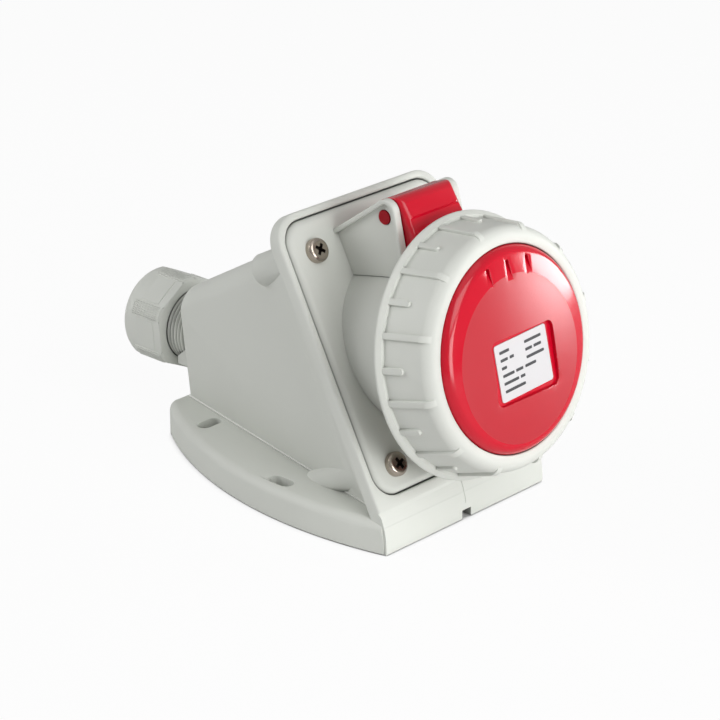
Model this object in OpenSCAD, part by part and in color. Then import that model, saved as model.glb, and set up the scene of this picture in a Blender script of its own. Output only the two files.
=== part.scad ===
// Surface-mounted industrial socket-outlet, lying on its mounting face.
// Origin at the centre of the mounting face: X across, Y back to the cable gland, Z up from the wall.
// A wedge-shaped box carries a tilted socket with a hinged lid and a bayonet locking ring.

/* [Wall box] */
// Slope of the front frame, measured from the mounting face, degrees
face_slope = 61.5; // [50:0.5:75]
// How far the slope's plane runs in front of the vertical front edge
face_foot = 4.3; // [2:0.1:8]
// Radius of the bend between the vertical front edge and the slope
front_bend_r = 25; // [8:1:40]
// Width of the front frame
frame_w = 76; // [72:1:90]
// Length of the frame along the slope
frame_l = 113; // [108:1:125]
// Thickness of the frame
frame_t = 5; // [4.2:0.1:8]
// Radius of the frame's upper corners
frame_r = 10; // [6:0.5:16]
// Width of the raised lip around the plate
lip_w = 2.5; // [1.5:0.1:4]
// Depth of the recess that takes the plate
recess_d = 3; // [2:0.1:3.4]
// Where the recess begins along the slope
recess_start = 18.6; // [17:0.2:24]
// Width of the box behind the frame
box_front_w = 64.4; // [62:0.2:68]
// Distance from the frame's top edge down to the roof, along the slope
roof_drop = 8.7; // [7:0.1:12]
// Distance from the front edge to the back wall
box_l = 118; // [112:0.5:134]
// Width of the back wall at the mounting face
back_foot_w = 17.2; // [15:0.2:22]
// Width of the back wall at its top
back_top_w = 27.2; // [26:0.2:34]
// Height of the back wall
back_h = 50.8; // [49:0.2:56]
// Radius of the long upper edges
box_edge_r = 8; // [5:0.5:11]
// Thickness of the box walls
box_wall = 2.5; // [2:0.1:3]
// Thickness of the closed floor
floor_t = 3; // [2:0.1:5]
// Width of the ledge where the box stands on the foot
ledge_w = 0.5; // [0.2:0.1:0.8]
// Height of the ledge
ledge_h = 0.5; // [0.2:0.1:1]

/* [Foot] */
// How far the foot runs out behind the back wall
foot_back = 1.5; // [0.5:0.1:4]
// Height of the foot
foot_h = 10.5; // [8:0.1:14]
// Greatest width of the foot
foot_w = 86.6; // [84:0.2:94]
// Radius of the bowed sides
foot_side_r = 145; // [135:1:190]
// Where along the length the foot is widest
foot_wide_at = 39; // [34:1:44]
// Rounding of the foot's upper edge
foot_edge_r = 3; // [1:0.1:4]
// Radius of the rear corners
foot_corner_r = 4; // [2:0.1:7]
// Thickness of the foot's top and skirt
foot_skin = 3; // [2:0.1:4]
// Length of the fixing slots
slot_l = 9.5; // [8:0.1:11]
// Width of the fixing slots
slot_w = 5; // [4:0.1:5.6]
// Wall around each fixing slot under the foot
slot_wall = 2.5; // [1.5:0.1:3]
// Distance of the rear slots from the middle
rear_slot_x = 21.2; // [20.6:0.1:22.5]
// Distance of the rear slots from the foot's rear edge
rear_slot_back = 22.5; // [19:0.5:27]
// Distance of the front slots from the foot's widest line
front_slot_in = 6; // [5.8:0.1:7.6]
// Distance of the front slots from the front edge
front_slot_y = 47; // [42:0.5:52]
// Width of the centring notch in the front edge
notch_w = 4.2; // [2:0.1:6]
// Height of the centring notch
notch_h = 3; // [1:0.1:4]

/* [Plate and screws] */
// Gap between the plate and the lip
plate_gap = 0.35; // [0.3:0.05:0.9]
// How far the plate stands out of the frame
plate_proud = 0.7; // [0.2:0.1:1.5]
// Rounding of the plate's front edge
plate_edge_r = 2.4; // [1:0.1:2.6]
// Radius of the plate's corners
plate_r = 8; // [5:0.5:12]
// Thickness of the gasket under the plate
gasket_t = 0.8; // [0.5:0.1:1.2]
// Width of the gasket strip
gasket_w = 2.8; // [2:0.1:2.9]
// Screw spacing across the plate
screw_pitch_x = 51; // [49:0.5:52]
// Screw spacing along the plate
screw_pitch_v = 71.6; // [70:0.1:73]
// How far the screws' middle lies below the plate's middle
screw_drop = 1.1; // [0:0.1:2]
// Diameter of the screw heads
screw_head_d = 8; // [7:0.1:9]
// Height of the screw heads
screw_head_h = 2.6; // [2:0.1:3.4]
// Diameter of the screw shanks
screw_d = 4; // [3.5:0.1:4.2]
// Length of the screw shanks
screw_l = 20; // [14:0.5:21]
// Radius of the screw bosses
boss_r = 5.5; // [4.6:0.1:6.2]
// Clearance between the bosses and the gasket
boss_gap = 0.05; // [0.02:0.01:0.1]
// Length of the upper screw bosses
upper_boss_l = 25; // [23:0.5:28]
// Length of the lower screw bosses
lower_boss_l = 38; // [30:0.5:39]

/* [Socket barrel] */
// Where the socket's axis meets the plate, along the slope
axis_v = 62.1; // [61:0.1:63]
// Tilt of the socket's axis from the plate's normal, degrees
barrel_tilt = 16.7; // [12:0.1:20]
// Outer radius of the barrel
barrel_r = 28.4; // [27.6:0.1:28.8]
// Radius of the plug bore
bore_r = 25.2; // [24.6:0.1:25.6]
// Distance from the plate to the barrel's mouth
mouth_s = 38.3; // [37.2:0.1:38.4]
// Thickness of the barrel's floor
barrel_floor_t = 2.5; // [2:0.1:3.5]
// Width of the polarising keyway
keyway_w = 6.5; // [5:0.1:8]
// Depth of the polarising keyway
keyway_d = 2.2; // [1.5:0.1:2.6]
// Outer radius of the barrel's bayonet lugs
barrel_lug_r = 34; // [32.8:0.1:34.6]
// Half angle of the barrel's bayonet lugs, degrees
barrel_lug_half = 12; // [8:1:14]

/* [Contacts] */
// Radius of the contact carrier's core
carrier_r = 19.2; // [18.6:0.1:19.8]
// Distance from the plate to the carrier's front face
carrier_front = 22; // [19:0.5:26]
// Radius of the carrier's rear flange
carrier_flange_r = 24.4; // [24:0.1:24.8]
// How far the carrier's screws lie outside its core
carrier_screw_out = 2.4; // [2.2:0.1:2.6]
// Thickness of the carrier's rear flange
carrier_flange_t = 3; // [2:0.1:4]
// Length of the terminal body behind the flange
terminal_l = 13; // [11:0.5:15]
// Radius of the circle of contacts
contact_pcr = 12.5; // [12:0.1:12.8]
// Bore of the phase sleeves
phase_bore = 5.2; // [5:0.1:5.6]
// Bore of the earth sleeve
earth_bore = 7.2; // [7:0.1:7.6]
// Wall of the contact sleeves
sleeve_wall = 1.1; // [0.8:0.05:1.2]
// How far the sleeves lie behind the carrier's front face
sleeve_sink = 2; // [1:0.1:3]
// Diameter of the terminal screws
terminal_screw_d = 3.5; // [3:0.1:4]

/* [Locking ring] */
// Distance from the plate to the ring's front face
ring_front = 44.6; // [44.5:0.1:45.6]
// Depth of the ring
ring_l = 19.25; // [18.6:0.05:20]
// Radius of the ring's rear rim
ring_rim_r = 42.7; // [42.5:0.1:43.2]
// Radius over the ribs behind the front corner
ring_rib_front_r = 39.9; // [39.6:0.1:40.6]
// Radius over the ribs at the rear rim
ring_rib_rear_r = 41.4; // [41.2:0.1:42.2]
// Height of the ribs over the panels
rib_h = 1.1; // [0.6:0.1:1.3]
// Width of the ribs
rib_w = 2.1; // [1.4:0.1:3]
// Number of long ribs
rib_count = 12; // [8:1:16]
// Angle of the first long rib, degrees
rib_start = 9.66; // [0:0.1:30]
// Length of the short ribs from the rear rim
stub_l = 8.6; // [5:0.1:11]
// Rounding of the ring's front corner
ring_corner_r = 4; // [2:0.1:4.6]
// Thickness of the ring's front face
ring_face_t = 3; // [2.4:0.1:3.2]
// Inner radius of the ring's wall
ring_inner_r = 37; // [36.9:0.05:37.3]
// Inner radius of the ring's bayonet lugs
ring_lug_r = 32.6; // [32.4:0.1:33.2]
// Half angle of the ring's bayonet lugs, degrees
ring_lug_half = 10; // [6:1:12]
// Rest angle of the ring's bayonet lugs, degrees
ring_lug_at = 20; // [20:1:24]
// Turn of the ring from open to locked, degrees
ring_turn = 40; // [38:1:44]

/* [Lid] */
// Radius of the lid where the ring runs on it
lid_r = 33; // [32.4:0.1:33.4]
// Radial clearance between the lid and the ring
lid_clear = 0.06; // [0.04:0.01:0.09]
// Rounding of the lid's front edge
lid_edge_r = 4; // [3:0.1:4.4]
// Height of the front edge over the ring
rim_h = 1.89; // [1.4:0.01:2.1]
// Slope of the rim around the dome, degrees
rim_slope = 4.6; // [3:0.1:7]
// Radius of the lid's shoulder behind the ring
lid_shoulder_r = 36; // [35:0.1:36.4]
// Inner radius of the lid's skirt
skirt_in_r = 31; // [30.8:0.1:31.4]
// Depth of the lid's skirt past the barrel's mouth
skirt_over = 3.9; // [2:0.1:4]
// Radius of the domed front
dome_r = 170; // [140:1:215]
// Height of the dome's top over the ring
dome_h = 4.52; // [4.4:0.02:4.7]
// How far the dome's top lies below the lid's middle
dome_drop = 1.33; // [1:0.01:1.6]
// Spacing of the three drain grooves
groove_pitch = 9.1; // [6:0.1:10]
// Width of the drain grooves at their deep end
groove_end_w = 1.5; // [1:0.1:1.8]
// Width of the drain grooves at the dome
groove_w = 2.4; // [1.8:0.1:2.8]
// Where the middle groove ends, over the lid's middle
groove_reach = 28.5; // [27.6:0.1:29]
// Slope of the groove floors, degrees
groove_dive = 19; // [14:1:24]
// Width of the label's recess
label_bed_w = 29; // [27:0.2:31]
// Height of the label's recess
label_bed_h = 21.1; // [19.6:0.1:22]
// How far the label lies below the lid's middle
label_drop = 4.4; // [3:0.1:5]
// Sideways place of the label
label_x = 0.6; // [-1:0.1:1]
// Height of the recess floor over the ring
label_floor_h = 2.5; // [2:0.1:2.7]
// Width of the label
label_w = 24.4; // [18:0.2:25]
// Height of the label
label_h = 18.4; // [12:0.2:18.6]
// Thickness of the label
label_t = 0.3; // [0.2:0.05:0.35]
// Turn of the label, degrees
label_turn = 2.2; // [0:0.1:4]

/* [Hinge] */
// Distance of the hinge pin from the plate, along the socket's axis
hinge_s = 11; // [10:0.1:12]
// Height of the hinge pin over the socket's axis
hinge_w = 44.5; // [44:0.1:45.5]
// Diameter of the hinge pin
hinge_pin_d = 4.6; // [4:0.1:5]
// Radial clearance of the pin in the lid's arm
hinge_clear = 0.05; // [0.03:0.01:0.09]
// Width of the lid's arm
arm_w = 24.4; // [22:0.2:24.8]
// Radius of the arm's knuckle
knuckle_r = 5.5; // [4.8:0.1:5.7]
// Rounding of the arm's upper front edge
arm_top_r = 4; // [3:0.1:4.4]
// Rounding of the arm's front ends
arm_end_r = 2.6; // [1:0.1:5]
// Outer radius of the strap that passes under the ring
strap_r = 35.8; // [35:0.1:36.2]
// Gap between the arm and each cheek
cheek_gap = 0.3; // [0.3:0.05:0.6]
// Thickness of the hinge cheeks
cheek_t = 2.8; // [2.4:0.1:3.5]
// Depth of the pockets in the cheeks
pocket_d = 1.5; // [0.5:0.1:1.6]
// Width of the border around the cheeks' pockets
cheek_border = 1.5; // [1:0.1:2]
// Radius of the cheeks' upper front corner
cheek_r = 4.2; // [3:0.1:4.6]
// Slope of the cheeks' upper edge, degrees
cheek_slope = 24; // [20:0.5:28]

/* [Gland] */
// Height of the gland's axis over the mounting face
gland_z = 32.4; // [31:0.1:34]
// Outer radius of the moulded thread
thread_r = 12.3; // [11.6:0.1:12.5]
// Pitch of the moulded thread
thread_pitch = 1.6; // [1.5:0.1:2]
// Length of the moulded nozzle behind the back wall
nozzle_l = 20; // [19:0.5:22]
// Radius of the cable passage
cable_r = 9; // [8:0.1:9.2]
// Distance from the back wall to the nut's near end
nut_gap = 8.6; // [8.5:0.1:10]
// Length of the nut
nut_l = 20.5; // [20.2:0.1:24]
// Width of the nut across its flats
nut_flats = 30.8; // [29.6:0.1:31.6]
// Radius over the nut's rounded corners
nut_r = 16.9; // [16.4:0.1:17.4]
// Turn of the nut about its axis, degrees
nut_turn = 4.5; // [0:0.5:30]
// Rounding of the nut's domed end
nut_dome_r = 6.6; // [4:0.1:6.8]
// How far the nut can be tightened
nut_travel = 3; // [2:0.1:3.2]
// Width of the pad under the nozzle
web_w = 22; // [18:0.2:22]
// How far the pad stands out of the back wall
web_l = 4.8; // [3:0.1:5]
// Length of the seal's plug in the nozzle
seal_plug_l = 10; // [6:0.5:14]
// Wall of the seal
seal_wall = 2.5; // [1.5:0.1:3.5]

/* [Hidden] */
$fn = 96;
eps = 0.01;
over = 1;
far = 200;
hull_fn = 32;
bend_steps = 8;
grey = [0.78, 0.79, 0.77];
grey_dark = [0.62, 0.63, 0.62];
red = [0.74, 0.02, 0.11];
steel = [0.72, 0.73, 0.75];
brass = [0.80, 0.66, 0.34];
black = [0.10, 0.10, 0.11];
foot_l = box_l + foot_back;
rear_slot_y = foot_l - rear_slot_back;
front_slot_x = foot_w / 2 - front_slot_in;
notch_d = frame_t - over;
recess_w = frame_w - 2 * lip_w;
recess_l = frame_l - lip_w - recess_start;
recess_mid = recess_start + recess_l / 2;
plate_w = recess_w - 2 * plate_gap;
plate_l = recess_l - 2 * plate_gap;
plate_back = recess_d - gasket_t;
plate_t = plate_back + plate_proud;
opening_w = box_front_w - 2 * box_wall;
opening_low = recess_start + plate_gap + gasket_w + over;
opening_top = frame_l - roof_drop - box_wall;
screw_mid_v = recess_mid - screw_drop;
front_h = face_foot * tan(face_slope);
frame_top = [frame_l * cos(face_slope) - face_foot, frame_l * sin(face_slope)];
pilot_clear = 0.05;
shell_clear = 0.2;
// the socket's front rows, all measured from the plate along the axis
lid_seat = ring_front - ring_face_t - shell_clear;
shoulder_t = 2.2;
gasket_face = ring_front - ring_face_t - 0.4;
gasket_gap = 0.3;
skirt_end = mouth_s - skirt_over;
// the lid's front, as heights over the ring
rim_rise = 2.3;
rim_in_r = 20;
lid_ceiling = 0.6;
gasket_lip_r = bore_r - 2.8;
gasket_lip_t = 2;
gasket_lip_gap = 1.6;
groove_floor = 0.75;
groove_step = 0.6;
groove_l = 7;
label_bed_r = 2.5;
label_r = 1;
lug_gap = 0.5;
barrel_lug_t = 3.4;
barrel_lug_front = skirt_end - 0.8;
barrel_lug_rear = barrel_lug_front - barrel_lug_t;
ring_lug_t = 3;
ring_lug_front = barrel_lug_rear - lug_gap;
panel_front_r = ring_rib_front_r - rib_h;
panel_rear_r = ring_rib_rear_r - rib_h;
rim_l = 0.9;
band_l = 2.1;
rib_inset = 0.5;
lug_sink = 0.6;
// the contacts, as angles around the axis
phase_angles = [0, 90, 180];
earth_angles = [270];
phase_r = phase_bore / 2 + sleeve_wall;
earth_r = earth_bore / 2 + sleeve_wall;
sleeve_clear = 0.1;
sleeve_front = carrier_front - sleeve_sink;
flange_back = -barrel_floor_t - carrier_flange_t;
terminal_back = flange_back - terminal_l;
carrier_screw_r = 1.5;
carrier_screw_at = carrier_r + carrier_screw_out;
terminal_s = flange_back - terminal_l / 2;
wire_r = 1.9;
// the hinge
hinge_pin_r = hinge_pin_d / 2;
cheek_in = arm_w / 2 + cheek_gap;
cheek_out = cheek_in + cheek_t;
cheek_front = hinge_s + 6.4;
cheek_corner = [hinge_s + 1.7, hinge_w + 1.75];
cheek_tail = 30;
// the arm's side profile, as steps from the hinge pin
arm_top = [hinge_s + 3.4, hinge_w + 1.9];
arm_nose = [hinge_s + 8.75, hinge_w - 0.4];
arm_crease = [hinge_s + 8.5, hinge_w - 1.2];
arm_flare = [hinge_s + 10.2, hinge_w - 6.2];
arm_foot = hinge_s + 11.2;
arm_lean = 22;
arm_end_over = 0.15;
neck_rear = hinge_s + 2.6;
strap_t = 4.8;
pin_end = cheek_out - pocket_d + 0.3;
// the gland
nozzle_end = box_l + nozzle_l;
nut_y = box_l + nut_gap;
collar_l = 1.2;
thread_start = box_l + collar_l;
thread_depth = 0.9;
web_low = gland_z - 10.5;
web_end = gland_z - 7.8;
web_top = gland_z - 3.6;
nut_chamfer = 0.8;
seal_flange_t = 2;
nut_bore_r = thread_r + 0.4;
washer_t = 1.5;
washer_y = nozzle_end + seal_flange_t + nut_travel + 0.2;
nut_hole_r = cable_r + 0.5;

module placed() {
    translate([0, -foot_l / 2, 0]) children();
}

// frame of the sloped face: local Y runs up the slope, local Z stands out of it
module on_face(v, o) {
    translate([0, -face_foot, 0]) rotate([face_slope, 0, 0]) translate([0, v, o]) children();
}

// frame of the socket: local Z runs out along the axis, local Y points up
module on_axis(s) {
    on_face(axis_v, 0) rotate([barrel_tilt, 0, 0]) translate([0, 0, s]) children();
}

// frame of the gland: local Z runs back along the cable
module on_gland(y) {
    translate([0, y, gland_z]) rotate([-90, 0, 0]) children();
}

// side profile drawn as (Y, Z), spread along X
module along_x(w) {
    translate([-w / 2, 0, 0]) rotate([90, 0, 90]) linear_extrude(w) children();
}

// side profile drawn as (along the socket's axis, up), spread along X
module across(w) {
    rotate([0, -90, 0]) linear_extrude(w, center = true) children();
}

module round_rect(w, l, r) {
    square([w - 2 * r, l], center = true);
    square([w, l - 2 * r], center = true);
    for (x = [-1, 1], y = [-1, 1]) translate([x * (w / 2 - r), y * (l / 2 - r)]) circle(r);
}

module capsule(l, w) {
    square([l - w, w], center = true);
    for (x = [-1, 1]) translate([x * (l - w) / 2, 0]) circle(w / 2);
}

// everything in front of the plate's rear plane
module before_plate(o) {
    on_face(axis_v, o) translate([-far / 2, -far / 2, 0]) cube([far, far, far]);
}

// sector of a ring between two radii, centred on the angle at
module lug(r_in, r_out, at, half, t) {
    rotate([0, 0, at]) intersection() {
        difference() {
            cylinder(r = r_out, h = t);
            translate([0, 0, -over]) cylinder(r = r_in, h = t + 2 * over);
        }
        linear_extrude(t) polygon([
            [0, 0],
            [far * cos(half), -far * sin(half)],
            [far * cos(half), far * sin(half)]
        ]);
    }
}

module screw_places() {
    for (x = [-1, 1], v = [-1, 1])
        on_face(screw_mid_v + v * screw_pitch_v / 2, 0)
            translate([x * screw_pitch_x / 2, 0, 0]) children();
}

// front line of the frame in side view, with a bend between the front edge and the slope
function front_line() =
    let (turn = 90 - face_slope, bend = [front_bend_r, front_h - front_bend_r * tan(turn / 2)])
    concat(
        [[0, 0]],
        [for (i = [0 : bend_steps]) bend - front_bend_r * [cos(i * turn / bend_steps), -sin(i * turn / bend_steps)]],
        [frame_top]
    );

// side profile of the front frame
module frame_profile() {
    back = frame_top + frame_t * [sin(face_slope), -cos(face_slope)];
    inner_z = back[1] - (back[0] - frame_t) * tan(face_slope);
    polygon(concat(front_line(), [back, [frame_t, inner_z], [frame_t, 0]]));
}

module frame_body() {
    intersection() {
        along_x(frame_w) frame_profile();
        on_face(0, -2 * frame_t) linear_extrude(4 * frame_t) {
            translate([-frame_w / 2, -frame_l]) square([frame_w, 2 * frame_l - frame_r]);
            translate([-frame_w / 2 + frame_r, 0]) square([frame_w - 2 * frame_r, frame_l]);
            for (x = [-1, 1]) translate([x * (frame_w / 2 - frame_r), frame_l - frame_r]) circle(frame_r);
        }
    }
}

// tapering body: a sloped end behind the frame and an upright back end
module taper(w, top, foot, o, back_y, back_low, back_up, z, h, r) {
    hull() {
        for (x = [-1, 1]) {
            on_face(top - r, o) translate([x * (w / 2 - r), 0, 0]) cylinder(r = r, h = over, $fn = hull_fn);
            on_face(foot, o) translate([x * (w / 2 - over / 2), 0, 0]) cube(over, center = true);
            translate([x * (w / 2 - over / 2), frame_t + over / 2, z + over / 2]) cube(over, center = true);
            translate([x * (back_up / 2 - r), back_y, h - r])
                rotate([90, 0, 0]) cylinder(r = r, h = over, $fn = hull_fn);
            translate([x * (back_low / 2 - over / 2), back_y - over / 2, z + over / 2]) cube(over, center = true);
        }
    }
}

module box_outside() {
    taper(box_front_w, frame_l - roof_drop, frame_t, -frame_t + over / 2, box_l, back_foot_w, back_top_w, 0, back_h,
        box_edge_r);
}

// narrow ledge along the line where the box meets the foot
module box_ledge() {
    intersection() {
        taper(box_front_w + 2 * ledge_w, frame_l - roof_drop, frame_t, -frame_t + over / 2, box_l + ledge_w,
            back_foot_w + 2 * ledge_w, back_top_w + 2 * ledge_w, 0, back_h, box_edge_r);
        translate([-far / 2, 0, foot_h - over]) cube([far, far, ledge_h + over]);
    }
}

module box_inside() {
    taper(opening_w, opening_top, opening_low, -recess_d, box_l - box_wall, back_foot_w - 2 * box_wall,
        back_top_w - 2 * box_wall, floor_t, back_h - box_wall, box_edge_r - box_wall);
}

// one bowed side of the foot with a rounded upper edge
module bow(side) {
    inner = foot_side_r - foot_edge_r;
    translate([side * (foot_w / 2 - foot_side_r), foot_wide_at, 0]) rotate_extrude() {
        square([inner, foot_h]);
        square([foot_side_r, foot_h - foot_edge_r]);
        translate([inner, foot_h - foot_edge_r]) circle(foot_edge_r);
    }
}

module foot_plan() {
    translate([-far / 2, 0]) square([far, foot_l - foot_corner_r]);
    square_w = 2 * back_corner_x();
    translate([-square_w / 2, 0]) square([square_w, foot_l]);
    for (x = [-1, 1]) translate([x * back_corner_x(), foot_l - foot_corner_r]) circle(foot_corner_r);
}

// middle of the rear corner rounding
function back_corner_x() = sqrt(pow(foot_side_r - foot_corner_r, 2)
    - pow(foot_l - foot_corner_r - foot_wide_at, 2)) - (foot_side_r - foot_w / 2);

module foot_body() {
    intersection() {
        bow(-1);
        bow(1);
        linear_extrude(foot_h) foot_plan();
        translate([0, over, 0]) along_x(far) polygon(concat(front_line(), [[far, frame_top[1]], [far, 0]]));
    }
}

module slot_places() {
    for (x = [-1, 1]) {
        translate([x * rear_slot_x, rear_slot_y]) children();
        translate([x * front_slot_x, front_slot_y]) rotate(90) children();
    }
}

module core_disc(side, h) {
    translate([side * (foot_w / 2 - foot_side_r), foot_wide_at, -over])
        cylinder(r = foot_side_r - foot_skin, h = h + over);
}

// hollows under the ears of the foot, leaving the skirt and the slot walls
module foot_core() {
    core_h = foot_h - foot_skin;
    difference() {
        intersection() {
            core_disc(-1, core_h);
            core_disc(1, core_h);
            translate([-far / 2, frame_t + foot_skin, -over])
                cube([far, foot_l - frame_t - 3 * foot_skin, core_h + over]);
        }
        translate([0, 0, -2 * over]) linear_extrude(foot_h) slot_places()
            capsule(slot_l + 2 * slot_wall, slot_w + 2 * slot_wall);
        translate([0, 0, -2 * over]) linear_extrude(foot_h) polygon([
            [-box_front_w / 2, 0],
            [box_front_w / 2, 0],
            [box_front_w / 2, frame_t + over],
            [back_foot_w / 2 + over, box_l],
            [back_foot_w / 2 + over, foot_l],
            [-back_foot_w / 2 - over, foot_l],
            [-back_foot_w / 2 - over, box_l],
            [-box_front_w / 2, frame_t + over]
        ]);
    }
}

// threaded nozzle at the back, with a smooth collar and a pad below it
module nozzle() {
    crests = floor((nozzle_end - thread_start) / thread_pitch) - 1;
    root_r = thread_r - thread_depth;
    on_gland(box_l - box_wall) cylinder(r = root_r, h = nozzle_l + box_wall);
    on_gland(box_l - box_wall) cylinder(r = thread_r - thread_depth / 2, h = collar_l - thread_pitch / 2 + box_wall);
    for (i = [0 : crests - 1])
        on_gland(thread_start + i * thread_pitch) rotate_extrude() polygon([
            [0, 0],
            [root_r, 0],
            [thread_r, thread_pitch * 0.3],
            [thread_r, thread_pitch * 0.5],
            [root_r, thread_pitch * 0.8],
            [0, thread_pitch * 0.8]
        ]);
    along_x(web_w) polygon([
        [box_l - box_wall, web_low],
        [box_l + web_l, web_low],
        [box_l + web_l, web_end],
        [box_l, web_top],
        [box_l - box_wall, web_top]
    ]);
}

module wall_box() placed() color(grey) {
    difference() {
        union() {
            difference() {
                union() {
                    frame_body();
                    box_outside();
                    box_ledge();
                    foot_body();
                    nozzle();
                }
                box_inside();
                on_face(recess_mid, -recess_d) linear_extrude(far) round_rect(recess_w, recess_l,
                    plate_r + plate_gap);
                foot_core();
            }
            for (x = [-1, 1]) {
                on_face(screw_mid_v + screw_pitch_v / 2, -upper_boss_l) translate([x * screw_pitch_x / 2, 0, 0])
                    cylinder(r = boss_r, h = upper_boss_l - plate_back);
                on_face(screw_mid_v - screw_pitch_v / 2, -lower_boss_l) translate([x * screw_pitch_x / 2, 0, 0])
                    cylinder(r = boss_r, h = lower_boss_l - plate_back);
            }
        }
        screw_places() translate([0, 0, -plate_back - screw_l]) cylinder(d = screw_d + 2 * pilot_clear, h = screw_l + over);
        translate([0, 0, -over]) linear_extrude(foot_h + 2 * over) slot_places() capsule(slot_l, slot_w);
        on_gland(box_l - 4 * box_wall) cylinder(r = cable_r, h = nozzle_l + 5 * box_wall);
        translate([-notch_w / 2, -over, -over]) cube([notch_w, notch_d + over, notch_h + over]);
    }
}

module plate_gasket() placed() color(black) {
    on_face(recess_mid, -recess_d) linear_extrude(gasket_t) difference() {
        round_rect(plate_w, plate_l, plate_r);
        round_rect(plate_w - 2 * gasket_w, plate_l - 2 * gasket_w, plate_r - gasket_w / 2);
        for (x = [-1, 1], v = [-1, 1])
            translate([x * screw_pitch_x / 2, v * screw_pitch_v / 2 - screw_drop]) circle(boss_r + boss_gap);
    }
}

// plate with rounded front edges
module plate_body() {
    x = plate_w / 2 - plate_r;
    y = plate_l / 2 - plate_r;
    linear_extrude(plate_t) square([2 * x, 2 * y], center = true);
    for (a = [0, 180]) rotate([0, 0, a]) {
        translate([x, y, 0]) rotate([90, 0, 0]) linear_extrude(2 * y) plate_edge();
        translate([-x, y, 0]) rotate([90, 0, 90]) linear_extrude(2 * x) plate_edge();
        translate([x, y, 0]) rotate_extrude() plate_edge();
        translate([x, -y, 0]) rotate_extrude() plate_edge();
    }
}

module plate_edge() {
    square([plate_r - plate_edge_r, plate_t]);
    square([plate_r, plate_t - plate_edge_r]);
    translate([plate_r - plate_edge_r, plate_t - plate_edge_r]) intersection() {
        circle(plate_edge_r);
        square(plate_edge_r);
    }
}

// outline of a hinge cheek, as (along the axis, up)
module cheek_outline(inset) {
    r = cheek_r - inset;
    touch = cheek_corner + (r - eps) * [-sin(cheek_slope), cos(cheek_slope)];
    run = touch[0] + cheek_tail;
    polygon([
        touch,
        [touch[0] - run, touch[1] - run * tan(cheek_slope)],
        [touch[0] - run, bore_r],
        [cheek_front - inset, bore_r],
        cheek_corner + [r, 0],
        cheek_corner
    ]);
    translate(cheek_corner) circle(r);
}

// the cheeks stand on the plate and the barrel, each with a shallow pocket in its outer face
module hinge_cheeks() {
    intersection() {
        on_axis(0) for (x = [-1, 1]) difference() {
            translate([x * (cheek_in + cheek_t / 2), 0, 0]) across(cheek_t) cheek_outline(0);
            translate([x * (cheek_out - pocket_d / 2 + over / 2), 0, 0]) across(pocket_d + over)
                cheek_outline(cheek_border);
        }
        before_plate(-plate_back / 2);
    }
}

module socket_body() placed() color(grey) {
    difference() {
        union() {
            on_face(recess_mid, -plate_back) plate_body();
            intersection() {
                on_axis(-far / 4) cylinder(r = barrel_r, h = far / 4 + mouth_s);
                before_plate(-plate_back);
            }
            on_axis(-barrel_floor_t) cylinder(r = barrel_r - over, h = barrel_floor_t + bore_r / 2);
            intersection() {
                on_axis(0) translate([-keyway_w / 2 - 2, -barrel_r - 1.8, -far / 4])
                    cube([keyway_w + 4, barrel_r / 2, far / 4 + mouth_s]);
                before_plate(-plate_back);
            }
            for (a = [ring_lug_at - ring_turn, ring_lug_at - ring_turn + 180])
                on_axis(barrel_lug_rear) lug(barrel_r - over, barrel_lug_r, a, barrel_lug_half, barrel_lug_t);
            hinge_cheeks();
        }
        on_axis(0) cylinder(r = bore_r, h = far);
        on_axis(-barrel_floor_t - far) cylinder(r = bore_r, h = far);
        on_axis(0) translate([-keyway_w / 2, -bore_r - keyway_d, 0]) cube([keyway_w, bore_r, far]);
        on_axis(-barrel_floor_t - over) cylinder(r = carrier_r + 0.2, h = barrel_floor_t + 2 * over);
        on_axis(-barrel_floor_t - over) for (x = [-1, 1]) translate([x * carrier_screw_at, 0, 0])
            cylinder(r = carrier_screw_r + pilot_clear, h = barrel_floor_t + 2 * over);
        screw_places() translate([0, 0, -plate_back - over]) cylinder(d = screw_d + 0.4, h = plate_t + 2 * over);
        on_axis(0) translate([0, hinge_w, hinge_s]) rotate([0, 90, 0])
            cylinder(r = hinge_pin_r, h = far, center = true);
    }
}

module plate_screws() placed() color(steel) {
    screw_places() translate([0, 0, plate_proud]) {
        difference() {
            rotate_extrude() {
                square([screw_head_d / 2 - screw_head_h / 2, screw_head_h]);
                square([screw_head_d / 2, screw_head_h / 2]);
                translate([screw_head_d / 2 - screw_head_h / 2, screw_head_h / 2]) intersection() {
                    circle(screw_head_h / 2);
                    square(screw_head_h / 2);
                }
            }
            for (a = [0, 90]) rotate([0, 0, a]) translate([-screw_head_d * 0.3, -0.5, screw_head_h * 0.5])
                cube([screw_head_d * 0.6, 1, screw_head_h]);
        }
        translate([0, 0, -plate_t - screw_l + over]) cylinder(d = screw_d, h = plate_t + screw_l - over);
    }
}

module contact_places(list) {
    for (a = list) rotate([0, 0, a]) translate([contact_pcr, 0, 0]) children();
}

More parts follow.
